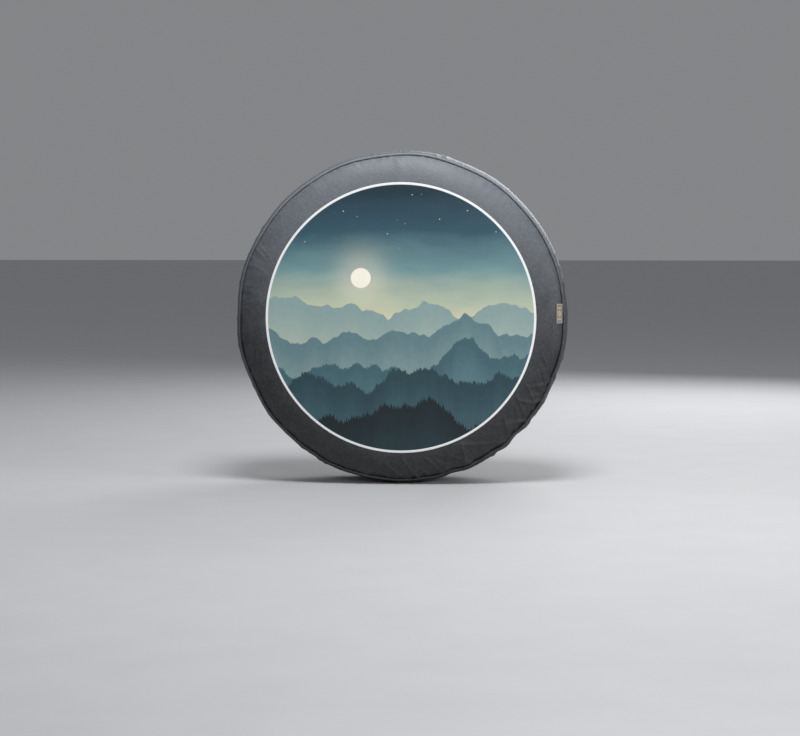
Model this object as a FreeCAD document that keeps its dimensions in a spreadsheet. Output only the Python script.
"""Soft cover for a spare wheel carried upright on the back of a vehicle.

Frame: the wheel's axle lies along Y, the printed face looks towards -Y, up is +Z, and the origin
is the middle of the tyre.  Most pieces are bodies of revolution about Y, so their sketches lie in
the YZ plane and give each point as (axial, radial).  A direction in that plane is given by its
lean: 0 degrees points out of the face, 90 degrees points away from the axle, 180 degrees points
out of the back.  A strap with a side-release buckle crosses the lower part of the open back.
"""
import FreeCAD, Part
import math
import os
import re
import Sketcher

Vector = FreeCAD.Vector
document = FreeCAD.newDocument("SpareTyreCover")

DIMS = {
    # the tyre that the cover is cut for
    "tyre_radius": 407,
    "tyre_half_width": 127.5,
    # the layers, from the tyre outwards
    "fit_gap": 1.0,
    "lining_thickness": 1.0,
    "layer_gap": 0.2,
    "vinyl_thickness": 1.2,
    # the face: flat in the middle, bent back round its edge to the seam
    "seam_inset": 12.5,
    "face_shoulder_radius": 92,
    "face_edge_lean": 44,
    "print_margin": 2,
    "film_thickness": 0.25,
    "film_gap": 0.05,
    # the seam between the face and the side band, with its piping
    "seam_lean": 49.5,
    "seam_half_gap": 0.85,
    "seam_allowance": 7,
    "fold_slack": 0.8,
    "stem_half_thickness": 0.6,
    "piping_radius": 2.75,
    "piping_wall": 0.7,
    "piping_gap": 0.15,
    "cord_radius": 2.0,
    # the side band, which wraps over the tread and round to the open back
    "band_edge_lean": 55,
    "lining_setback": 3.5,
    "tape_width": 25,
    "tape_thickness": 0.6,
    # the hem, with its elastic in a sewn casing
    "hem_inset": 120.4,
    "casing_radius": 4.2,
    "casing_wall": 0.8,
    "casing_leg": 12,
    "casing_gap": 0.1,
    "elastic_radius": 2.6,
    # the woven label on the right of the ring
    "label_lean": 36,
    "label_width": 18,
    "label_height": 48,
    "label_thickness": 1.2,
    "label_gap": 0.35,
    "label_rise": 11,
    # the webbing strap and the patches that it is sewn to
    "strap_inset": 75,
    "webbing_width": 25,
    "webbing_thickness": 1.4,
    "strap_gap": 0.4,
    "sewn_gap": 0.15,
    "patch_width": 22.5,
    "patch_height": 32,
    "patch_thickness": 1.2,
    "patch_margin": 1.5,
    "strap_end_margin": 2,
    "ramp_margin": 4,
    "fold_length": 12,
    "short_tail": 34,
    "long_tail": 104,
    # the side-release buckle: its mouth is at X = 0
    "bar_radius": 1.6,
    "bar_slack": 0.3,
    "slot_gap": 1.0,
    "buckle_wall": 3.6,
    "buckle_side_gap": 0.4,
    "socket_thickness": 8.8,
    "socket_bar": 29,
    "cavity_depth": 21,
    "cavity_half_height": 13.2,
    "cavity_thickness": 5.0,
    "window_start": 7,
    "window_length": 10,
    "corner_radius": 3,
    "tongue_thickness": 7.6,
    "tongue_bar": 19,
    "mouth_gap": 0.3,
    "guide_half_height": 2.0,
    "guide_length": 15,
    "prong_thickness": 4.2,
    "prong_offset": 9.5,
    "prong_half_width": 1.5,
    "prong_root": 3.5,
    "prong_root_gap": 0.9,
    "catch_gap": 0.5,
    "barb_reach": 15.4,
    "barb_length": 5,
    "nose_length": 6.5,
    # the keeper that holds down the strap's spare end
    "keeper_place": 68,
    "keeper_length": 8,
    "keeper_wall": 1.8,
    "keeper_gap": 0.35,
}


def make_sheet():
    """Write the driving dimensions into a spreadsheet, one alias a row."""
    sheet = document.addObject("Spreadsheet::Sheet", "dims")
    for row, (alias, value) in enumerate(DIMS.items(), start=1):
        sheet.set(f"A{row}", alias)
        sheet.set(f"B{row}", str(value))
        sheet.setAlias(f"B{row}", alias)
    document.recompute()
    return sheet


sheet = make_sheet()


# ---------------------------------------------------------------- expressions, points and outlines

def bound(expression):
    """The expression with each driving dimension's name turned into a reference to its cell."""
    return re.sub(r"[a-z_]+", lambda word: f"dims.{word[0]}" if word[0] in DIMS else word[0], expression)


def value_of(expression):
    return float(sheet.evalExpression(bound(expression)))


def vector_of(point):
    return Vector(value_of(point[0]), value_of(point[1]), 0)


def step(point, distance, lean):
    """The point that lies the distance away from another, in the direction of the lean."""
    axial, radial = point
    return (f"{axial} - ({distance}) * cos({lean})", f"{radial} + ({distance}) * sin({lean})")


def bend(centre, radius, first_lean, last_lean):
    """A round stretch of an outline: its start, its end, its centre and its radius."""
    return (step(centre, radius, first_lean), step(centre, radius, last_lean), centre, radius)


def bends(centre, radius, first_lean, sweep):
    """A long round stretch as eight equal ones, which keeps its surface easy to mesh."""
    leans = [f"({first_lean} + {sweep} * {part} / 8)" for part in range(9)]
    return [bend(centre, radius, *pair) for pair in zip(leans, leans[1:])]


def corners(*points):
    """The sharp corners of an outline, as stretches of no length."""
    return [(point, point, None, None) for point in points]


def backwards(stretches):
    return [(end, start, centre, radius) for start, end, centre, radius in reversed(stretches)]


def new_body(name):
    body = document.addObject("PartDesign::Body", name)
    body.Label = name
    return body


def new_sketch(body, name, plane_role):
    sketch = body.newObject("Sketcher::SketchObject", name)
    plane = next(item for item in body.Origin.OriginFeatures if item.Role == plane_role)
    sketch.AttachmentSupport = [(plane, "")]
    sketch.MapMode = "FlatFace"
    return sketch


def pin(sketch, geometry, vertex, point):
    """Tie a sketch's vertex to a point given by two expressions."""
    for direction, expression in zip(("DistanceX", "DistanceY"), point):
        rule = Sketcher.Constraint(direction, -1, 1, geometry, vertex, value_of(expression))
        sketch.setExpression(f"Constraints[{sketch.addConstraint(rule)}]", bound(expression))


def add_edge(sketch, start, end, centre, radius):
    """Add a line, or an arc if there is a centre; return its number, first and last vertex."""
    first, last = vector_of(start), vector_of(end)
    if centre is None:
        return sketch.addGeometry(Part.LineSegment(first, last), False), 1, 2
    middle = vector_of(centre)
    start_angle = math.atan2(first.y - middle.y, first.x - middle.x)
    turn = math.atan2(last.y - middle.y, last.x - middle.x) - start_angle
    turn = (turn + math.pi) % (2 * math.pi) - math.pi
    if turn > 0:
        angles, vertices = (start_angle, start_angle + turn), (1, 2)
    else:
        angles, vertices = (start_angle + turn, start_angle), (2, 1)
    circle = Part.Circle(middle, Vector(0, 0, 1), value_of(radius))
    number = sketch.addGeometry(Part.ArcOfCircle(circle, *angles), False)
    rule = sketch.addConstraint(Sketcher.Constraint("Radius", number, value_of(radius)))
    sketch.setExpression(f"Constraints[{rule}]", bound(radius))
    return number, *vertices


def draw_outline(sketch, stretches):
    """Draw a closed outline; a straight edge joins stretches that don't meet."""
    edges = []
    for stretch, following in zip(stretches, stretches[1:] + stretches[:1]):
        start, end, centre, radius = stretch
        if centre is not None:
            edges.append((start, add_edge(sketch, start, end, centre, radius)))
        if vector_of(end).distanceToPoint(vector_of(following[0])) > 1e-6:
            edges.append((end, add_edge(sketch, end, following[0], None, None)))
    for (start, edge), (_, following) in zip(edges, edges[1:] + edges[:1]):
        pin(sketch, edge[0], edge[1], start)
        sketch.addConstraint(Sketcher.Constraint("Coincident", edge[0], edge[2], *following[:2]))


def draw_circle(sketch, centre, radius):
    number = sketch.addGeometry(Part.Circle(vector_of(centre), Vector(0, 0, 1), value_of(radius)), False)
    pin(sketch, number, 3, centre)
    rule = sketch.addConstraint(Sketcher.Constraint("Radius", number, value_of(radius)))
    sketch.setExpression(f"Constraints[{rule}]", bound(radius))


def rectangle(low, high):
    """The outline of a rectangle from its low and high corners, each an (x, y) pair."""
    return corners(low, (high[0], low[1]), high, (low[0], high[1]))


def revolve(body, name, stretches, sweep="360", reverse=False, midplane=False):
    """Turn an outline about the axle, from straight up; a reversed sweep goes to the left."""
    sketch = new_sketch(body, f"{name}_sketch", "YZ_Plane")
    draw_outline(sketch, stretches)
    finish_revolution(body, name, sketch, sweep, reverse, midplane)


def revolve_ring(body, name, centre, radius):
    """Turn a round section about the axle."""
    sketch = new_sketch(body, f"{name}_sketch", "YZ_Plane")
    draw_circle(sketch, centre, radius)
    finish_revolution(body, name, sketch, "360", False, False)


def finish_revolution(body, name, sketch, sweep, reverse, midplane):
    feature = body.newObject("PartDesign::Revolution", name)
    feature.Profile = sketch
    feature.ReferenceAxis = (sketch, ["H_Axis"])
    feature.Reversed = reverse
    feature.Midplane = midplane
    feature.setExpression("Angle", bound(sweep))


def pad(body, name, plane_role, stretches, thickness, kind="PartDesign::Pad"):
    """Pad or pocket an outline by the same amount on both sides of its plane."""
    sketch = new_sketch(body, f"{name}_sketch", plane_role)
    draw_outline(sketch, stretches)
    return finish_pad(body, name, sketch, thickness, kind)


def finish_pad(body, name, sketch, thickness, kind="PartDesign::Pad"):
    feature = body.newObject(kind, name)
    feature.Profile = sketch
    feature.Midplane = True
    feature.setExpression("Length", bound(thickness))
    return feature


def cut(body, name, plane_role, stretches, depth):
    """Cut an outline out of a body, and make sure that something was cut."""
    document.recompute()
    before = body.Shape.Volume
    pad(body, name, plane_role, stretches, depth, "PartDesign::Pocket")
    document.recompute()
    assert body.Shape.Volume < before, f"{name} cut nothing"


def round_edges(body, name, radius, wanted):
    """Fillet those edges of a body that the wanted test picks out by their shape."""
    document.recompute()
    tip = body.Tip
    picked = [f"Edge{number}" for number, edge in enumerate(tip.Shape.Edges, start=1) if wanted(edge)]
    assert picked, f"{name} found no edges"
    feature = body.newObject("PartDesign::Fillet", name)
    feature.Base = (tip, picked)
    feature.setExpression("Radius", bound(radius))


def put(body, x="0", y="0", z="0"):
    for axis, expression in zip("xyz", (x, y, z)):
        body.setExpression(f"Placement.Base.{axis}", bound(expression))


# ---------------------------------------------------------------- the cover's section

FACE_OUT = "(tyre_half_width + fit_gap + lining_thickness + layer_gap + vinyl_thickness)"
BAND_OUT = "(tyre_radius + fit_gap + lining_thickness + layer_gap + vinyl_thickness)"
LINING_DEPTH = "(vinyl_thickness + layer_gap)"
TAPE_DEPTH = "(vinyl_thickness + layer_gap + lining_thickness + layer_gap)"

FLAT_RADIUS = f"({BAND_OUT} - seam_inset - face_shoulder_radius * sin(face_edge_lean))"
HEM_RADIUS = f"({BAND_OUT} - hem_inset)"

FACE_CENTRE = (f"-{FACE_OUT}", "0")
FACE_BEND = (f"face_shoulder_radius - {FACE_OUT}", FLAT_RADIUS)
FACE_EDGE = step(FACE_BEND, "face_shoulder_radius", "face_edge_lean")
ALONG = "(seam_lean + 90)"
SEAM = step(FACE_EDGE, "seam_half_gap", ALONG)
BAND_EDGE = step(SEAM, "seam_half_gap", ALONG)

FRONT_RADIUS = f"(({BAND_OUT} - ({BAND_EDGE[1]})) / (1 - sin(band_edge_lean)))"
FRONT_BEND = step(BAND_EDGE, f"-{FRONT_RADIUS}", "band_edge_lean")
REAR_LEAN = "(180 - face_edge_lean)"
REAR_FACE_BEND = (f"{FACE_OUT} - face_shoulder_radius", FLAT_RADIUS)
REAR_EDGE = step(REAR_FACE_BEND, "face_shoulder_radius", REAR_LEAN)
REAR_RADIUS = f"(({BAND_OUT} - ({REAR_EDGE[1]})) / (1 - sin(face_edge_lean)))"
REAR_BEND = step(REAR_EDGE, f"-{REAR_RADIUS}", REAR_LEAN)
LINING_END = f"({HEM_RADIUS} + casing_leg + patch_margin)"


def seam_point(along, out):
    """A point near the seam: its place along the skin, and its height out of the skin."""
    return step(step(SEAM, along, ALONG), out, "seam_lean")


def run_lean(run, radius):
    """How many degrees of a bend a run of the skin takes."""
    return f"({run}) / {radius} * 180 / pi"


def face_path(depth, edge_lean):
    """The face's skin at a depth below its outer surface, from the middle to an edge."""
    radius = f"(face_shoulder_radius - {depth})"
    return corners(step(FACE_CENTRE, f"-({depth})", "0")) + [bend(FACE_BEND, radius, "0", edge_lean)]


def band_path(depth, first_lean, last_radius):
    """The side band's skin at a depth, from the seam over the tread to the flat lip at the back."""
    return [
        bend(FRONT_BEND, f"({FRONT_RADIUS} - {depth})", first_lean, "90"),
        bend(REAR_BEND, f"({REAR_RADIUS} - {depth})", "90", REAR_LEAN),
        bend(REAR_FACE_BEND, f"(face_shoulder_radius - {depth})", REAR_LEAN, "180"),
        *corners((f"{FACE_OUT} - {depth}", last_radius)),
    ]


def layer(path, top, bottom, *ends):
    """A layer's closed outline: its path at the top depth, and back at the bottom depth."""
    return path(top, *ends) + backwards(path(bottom, *ends))


def allowance(sign):
    """The skin's edge, turned in along the seam: the face's has sign -1, and the side band's 1."""
    near, far = f"{sign} * seam_half_gap", f"{sign} * (seam_half_gap + vinyl_thickness)"
    return corners(seam_point(near, "-seam_allowance"), seam_point(far, "-seam_allowance"))


# ---------------------------------------------------------------- the pieces of the shell

def make_face_panel():
    """The face's skin, whose edge is turned in along the seam."""
    body = new_body("face_panel")
    inner_lean = f"(face_edge_lean - {run_lean(FOLD_RUN, '(face_shoulder_radius - vinyl_thickness)')})"
    inside = face_path("vinyl_thickness", inner_lean)
    revolve(body, "face_skin", face_path("0", "face_edge_lean") + allowance(-1) + backwards(inside))


def make_face_lining():
    body = new_body("face_lining")
    bottom = f"({LINING_DEPTH} + lining_thickness)"
    edge_lean = f"(face_edge_lean - {run_lean('lining_setback', 'face_shoulder_radius')})"
    revolve(body, "face_lining_skin", layer(face_path, LINING_DEPTH, bottom, edge_lean))


def make_print_film():
    """The printed film on the flat of the face, with its white margin."""
    body = new_body("print_film")
    back = f"-{FACE_OUT} - film_gap"
    revolve(body, "film_disc", rectangle((f"{back} - film_thickness", "0"), (back, PRINT_RADIUS)))


def make_seam_piping():
    """A sleeve of vinyl folded round the cord, with both its edges caught in the seam."""
    body = new_body("seam_piping")
    join = "piping_gap + piping_radius - sqrt(piping_radius^2 - stem_half_thickness^2)"
    left, right = seam_point("-stem_half_thickness", join), seam_point("stem_half_thickness", join)
    top = seam_point("0", "piping_gap + 2 * piping_radius")
    sketch = new_sketch(body, "piping_sketch", "YZ_Plane")
    draw_outline(sketch, [
        (left, top, PIPING_CENTRE, "piping_radius"),
        (top, right, PIPING_CENTRE, "piping_radius"),
        *corners(seam_point("stem_half_thickness", "-seam_allowance"),
                 seam_point("-stem_half_thickness", "-seam_allowance")),
    ])
    draw_circle(sketch, PIPING_CENTRE, "piping_radius - piping_wall")
    finish_revolution(body, "piping_sleeve", sketch, "360", False, False)


def make_piping_cord():
    revolve_ring(new_body("piping_cord"), "cord_ring", PIPING_CENTRE, "cord_radius")


def make_band(side, reverse):
    """Half of the side band: its strips are sewn together at the top and the bottom."""
    body = new_body(f"band_{side}")
    inner_lean = f"(band_edge_lean + {run_lean(FOLD_RUN, f'({FRONT_RADIUS} - vinyl_thickness)')})"
    outside = band_path("0", "band_edge_lean", HEM_RADIUS)
    inside = band_path("vinyl_thickness", inner_lean, HEM_RADIUS)
    revolve(body, f"band_skin_{side}", backwards(outside) + allowance(1) + inside, "180", reverse)


def make_band_lining(side, reverse):
    body = new_body(f"band_lining_{side}")
    bottom = f"({LINING_DEPTH} + lining_thickness)"
    outline = layer(band_path, LINING_DEPTH, bottom, *LINING_ENDS)
    revolve(body, f"band_lining_skin_{side}", outline, "180", reverse)


def make_seam_tape(end, turn):
    """The tape that covers the join of the two side strips on the inside."""
    body = new_body(f"seam_tape_{end}")
    bottom = f"({TAPE_DEPTH} + tape_thickness)"
    sweep = "tape_width / tyre_radius * 180 / pi"
    outline = layer(band_path, TAPE_DEPTH, bottom, *LINING_ENDS)
    revolve(body, f"tape_{end}", outline, sweep, midplane=True)
    body.Placement = FreeCAD.Placement(Vector(), FreeCAD.Rotation(Vector(0, 1, 0), turn))


def make_hem_casing():
    """The binding folded over the band's free edge, with a round channel for the elastic."""
    body = new_body("hem_casing")
    slot = "(vinyl_thickness / 2 + casing_gap)"
    reach = f"({slot} + casing_wall)"
    leg_lean = f"(acos({reach} / casing_radius) / 1 deg)"
    slot_lean = f"(acos({slot} / casing_radius) / 1 deg)"
    tip = f"{HEM_RADIUS} + casing_leg"
    outside_x, slot_outside_x, slot_inside_x, inside_x = (
        f"{HEM_CENTRE[0]} + {across}" for across in (reach, slot, f"(-{slot})", f"(-{reach})")
    )
    sketch = new_sketch(body, "casing_sketch", "YZ_Plane")
    draw_outline(sketch, [
        *bends(HEM_CENTRE, "casing_radius", f"(180 - {leg_lean})", f"(180 + 2 * {leg_lean})"),
        *corners((inside_x, tip), (slot_inside_x, tip)),
        bend(HEM_CENTRE, "casing_radius", slot_lean, f"(180 - {slot_lean})"),
        *corners((slot_outside_x, tip), (outside_x, tip)),
    ])
    draw_outline(sketch, bends(HEM_CENTRE, "(casing_radius - casing_wall)", "0", "360"))
    finish_revolution(body, "casing_fold", sketch, "360", False, False)


def make_hem_elastic():
    revolve_ring(new_body("hem_elastic"), "elastic_ring", HEM_CENTRE, "elastic_radius")


def make_label():
    """The woven label: its outer edge, by the seam, is sewn down, and the rest lifts."""
    body = new_body("label")
    half = "label_thickness / 2"
    outline = rectangle(("-label_width", f"-{half}"), ("0", half))
    pad(body, "label_plate", "XY_Plane", outline, "label_height")
    axial, radial = LABEL_EDGE
    put(body, radial, axial, "label_rise")
    body.Placement.Rotation = FreeCAD.Rotation(Vector(0, 0, 1), value_of("label_lean"))
    body.setExpression("Placement.Rotation.Angle", bound("label_lean"))


FOLD_RUN = "vinyl_thickness + fold_slack"
PIPING_CENTRE = seam_point("0", "piping_gap + piping_radius")
HEM_CENTRE = (f"{FACE_OUT} - vinyl_thickness / 2", f"{HEM_RADIUS} - casing_radius - layer_gap")
PRINT_RADIUS = f"({FLAT_RADIUS} - print_margin)"
LINING_ENDS = (f"(band_edge_lean + {run_lean('lining_setback', FRONT_RADIUS)})", LINING_END)
LABEL_MIDDLE = step(FACE_BEND, "face_shoulder_radius + label_gap + label_thickness / 2", "label_lean")
LABEL_EDGE = step(LABEL_MIDDLE, "label_width / 2", "(label_lean + 90)")


# ---------------------------------------------------------------- the strap across the back

STRAP_DROP = f"({HEM_RADIUS} - strap_inset)"
PATCH_IN = f"sqrt({LINING_END}^2 - ({STRAP_DROP} - patch_height / 2)^2)"
PATCH_TOP = f"({FACE_OUT} + sewn_gap + patch_thickness)"
STRAP_UNDER = f"({HEM_CENTRE[0]} + casing_radius + strap_gap)"
RAMP_TOP = f"(sqrt({HEM_RADIUS}^2 - ({STRAP_DROP} - webbing_width / 2)^2) + ramp_margin)"
LOOP_INNER = "(bar_radius + bar_slack)"
LOOP_OUTER = "(bar_radius + bar_slack + webbing_thickness)"
BAR_LEVEL = f"({STRAP_UNDER} + {LOOP_OUTER})"


def make_strap_patch(side, sign):
    """The patch of doubled vinyl that spreads the strap's pull into the lip."""
    body = new_body(f"strap_patch_{side}")
    near, far = f"{sign} * {PATCH_IN}", f"{sign} * ({PATCH_IN} + patch_width)"
    outline = rectangle((near, "-patch_height / 2"), (far, "patch_height / 2"))
    pad(body, f"patch_{side}", "XZ_Plane", outline, "patch_thickness")
    put(body, y=f"{FACE_OUT} + sewn_gap + patch_thickness / 2", z=f"-{STRAP_DROP}")


def make_strap(side, sign, bar, tail):
    """One half of the webbing: sewn to its patch, over the hem, round the bar and back on itself."""
    body = new_body(f"strap_{side}")
    level = STRAP_UNDER
    top = f"{level} + webbing_thickness"
    sewn = f"{PATCH_TOP} + sewn_gap"
    tail_under = f"{top} + sewn_gap"
    bar_x = f"{sign} * {bar}"
    end_x = f"{sign} * ({PATCH_IN} + patch_width - strap_end_margin)"
    foot_x = f"{sign} * ({PATCH_IN} - patch_margin)"
    ramp_x = f"{sign} * {RAMP_TOP}"
    fold_x = f"{sign} * ({bar} + fold_length)"
    tail_x = f"{sign} * ({bar} + {tail})"
    loop = (bar_x, BAR_LEVEL)
    nose_x = f"{bar_x} - {sign} * "
    outline = [
        *corners((end_x, sewn), (foot_x, sewn), (ramp_x, level)),
        ((bar_x, level), (nose_x + LOOP_OUTER, BAR_LEVEL), loop, LOOP_OUTER),
        ((nose_x + LOOP_OUTER, BAR_LEVEL), (bar_x, f"{BAR_LEVEL} + {LOOP_OUTER}"), loop, LOOP_OUTER),
        *corners(
            (fold_x, f"{tail_under} + webbing_thickness"),
            (tail_x, f"{tail_under} + webbing_thickness"),
            (tail_x, tail_under),
            (fold_x, tail_under),
        ),
        ((bar_x, f"{BAR_LEVEL} + {LOOP_INNER}"), (nose_x + LOOP_INNER, BAR_LEVEL), loop, LOOP_INNER),
        ((nose_x + LOOP_INNER, BAR_LEVEL), (bar_x, top), loop, LOOP_INNER),
        *corners(
            (ramp_x, top),
            (foot_x, f"{sewn} + webbing_thickness"),
            (end_x, f"{sewn} + webbing_thickness"),
        ),
    ]
    pad(body, f"webbing_{side}", "XY_Plane", outline, "webbing_width")
    put(body, z=f"-{STRAP_DROP}")


def upright(edge):
    """Whether an edge of the buckle is straight and runs through its thickness."""
    return edge.BoundBox.XLength < 0.01 and edge.BoundBox.ZLength < 0.01


def make_buckle_block(name, near, far, thickness):
    """A flat moulding from near to far, with round corners."""
    body = new_body(name)
    half = "(webbing_width / 2 + buckle_side_gap + buckle_wall)"
    pad(body, f"{name}_block", "XZ_Plane", rectangle((near, f"-{half}"), (far, half)), thickness)
    round_edges(body, f"{name}_corners", "corner_radius", upright)
    return body, half


def add_bar(body, name, bar, inner, outer):
    """Open the webbing's slot, from inner to outer, and put the bar back across it."""
    reach = "(webbing_width / 2 + buckle_side_gap)"
    outline = rectangle((inner, f"-{reach}"), (outer, reach))
    cut(body, f"{name}_slot", "XZ_Plane", outline, "socket_thickness * 2")
    sketch = new_sketch(body, f"{name}_bar_sketch", "XY_Plane")
    draw_circle(sketch, (bar, "0"), "bar_radius")
    finish_pad(body, f"{name}_bar", sketch, f"{reach} * 2 + buckle_wall")


def make_buckle_socket():
    """The half of the buckle that the prongs click into."""
    end = "(socket_bar + bar_radius)"
    body, half = make_buckle_block("buckle_socket", "0", end, "socket_thickness")
    slot_in = f"socket_bar - {LOOP_OUTER} - slot_gap"
    add_bar(body, "socket", "socket_bar", slot_in, f"{end} + slot_gap")
    mouth = rectangle(("-slot_gap", "-cavity_half_height"), ("cavity_depth", "cavity_half_height"))
    cut(body, "socket_cavity", "XZ_Plane", mouth, "cavity_thickness")
    for side, sign in (("upper", 1), ("lower", -1)):
        inside, outside = f"{sign} * guide_half_height", f"{sign} * ({half} + slot_gap)"
        window = rectangle(("window_start", inside), ("window_start + window_length", outside))
        cut(body, f"socket_window_{side}", "XZ_Plane", window, "cavity_thickness")
    put(body, y=BAR_LEVEL, z=f"-{STRAP_DROP}")


def make_buckle_tongue():
    """The other half: its bar, its guide and the recesses that its two prongs bend in."""
    end = "(-tongue_bar - bar_radius)"
    body, _ = make_buckle_block("buckle_tongue", "-mouth_gap", end, "tongue_thickness")
    slot_in = f"{LOOP_OUTER} + slot_gap - tongue_bar"
    add_bar(body, "tongue", "-tongue_bar", slot_in, f"{end} - slot_gap")
    guide_foot = ("-mouth_gap - buckle_wall", "-guide_half_height")
    guide = rectangle(guide_foot, ("guide_length", "guide_half_height"))
    pad(body, "tongue_guide", "XZ_Plane", guide, "prong_thickness")
    room = "(prong_half_width + prong_root_gap)"
    for side, sign in (("upper", 1), ("lower", -1)):
        low = f"{sign} * (prong_offset - {room})"
        high = f"{sign} * (prong_offset + {room})"
        recess = rectangle((f"-prong_root - {room}", low), ("0", high))
        cut(body, f"tongue_recess_{side}", "XZ_Plane", recess, "cavity_thickness")
    put(body, y=BAR_LEVEL, z=f"-{STRAP_DROP}")


def make_prong(side, sign):
    """A springy prong with a round root, a barb that catches in the window, and a sloped nose."""
    body = new_body(f"buckle_prong_{side}")
    inner = f"{sign} * (prong_offset - prong_half_width)"
    middle = f"{sign} * prong_offset"
    outer = f"{sign} * (prong_offset + prong_half_width)"
    barb = f"{sign} * barb_reach"
    catch_x = "window_start + catch_gap"
    barb_x = f"{catch_x} + barb_length"
    tip_x = f"{barb_x} + nose_length"
    root = ("-prong_root", middle)
    back = ("-prong_root - prong_half_width", middle)
    outline = [
        (("-prong_root", inner), back, root, "prong_half_width"),
        (back, ("-prong_root", outer), root, "prong_half_width"),
        *corners((catch_x, outer), (catch_x, barb), (barb_x, barb), (tip_x, middle), (tip_x, inner)),
    ]
    pad(body, f"prong_{side}", "XZ_Plane", outline, "prong_thickness")
    put(body, y=BAR_LEVEL, z=f"-{STRAP_DROP}")


def make_strap_keeper():
    """A stiff loop that slides along the doubled webbing."""
    body = new_body("strap_keeper")
    low = f"({STRAP_UNDER} - keeper_gap)"
    high = f"({STRAP_UNDER} + 2 * webbing_thickness + sewn_gap + keeper_gap)"
    half = "(webbing_width / 2 + keeper_gap)"
    sketch = new_sketch(body, "keeper_sketch", "YZ_Plane")
    draw_outline(sketch, rectangle((f"{low} - keeper_wall", f"-{half} - keeper_wall"),
                                   (f"{high} + keeper_wall", f"{half} + keeper_wall")))
    draw_outline(sketch, rectangle((low, f"-{half}"), (high, half)))
    finish_pad(body, "keeper_loop", sketch, "keeper_length")
    put(body, x="-keeper_place", z=f"-{STRAP_DROP}")


# ---------------------------------------------------------------- building and writing

def build():
    make_face_panel()
    make_face_lining()
    make_print_film()
    make_seam_piping()
    make_piping_cord()
    for side, reverse in (("right", False), ("left", True)):
        make_band(side, reverse)
        make_band_lining(side, reverse)
    for end, turn in (("top", 0), ("bottom", 180)):
        make_seam_tape(end, turn)
    make_hem_casing()
    make_hem_elastic()
    make_label()
    for side, sign in (("right", 1), ("left", -1)):
        make_strap_patch(side, sign)
    make_strap("right", 1, "socket_bar", "short_tail")
    make_strap("left", -1, "tongue_bar", "long_tail")
    make_buckle_socket()
    make_buckle_tongue()
    for side, sign in (("upper", 1), ("lower", -1)):
        make_prong(side, sign)
    make_strap_keeper()
    document.recompute()


def check():
    """Stop if any object failed, or any body is empty, broken or in more than one piece."""
    for item in document.Objects:
        assert not {"Invalid", "Error"} & set(item.State), f"{item.Label} is {item.State}"
    for body in document.findObjects("PartDesign::Body"):
        shape = body.Shape
        assert not shape.isNull() and shape.isValid(), f"{body.Label} has no valid shape"
        assert len(shape.Solids) == 1, f"{body.Label} has {len(shape.Solids)} solids"
        print(f"{body.Label}: {shape.Volume / 1000:.2f} cm3")


def write():
    os.makedirs("parts", exist_ok=True)
    for body in document.findObjects("PartDesign::Body"):
        body.Shape.exportStep(f"parts/{body.Label}.step")


build()
check()
write()
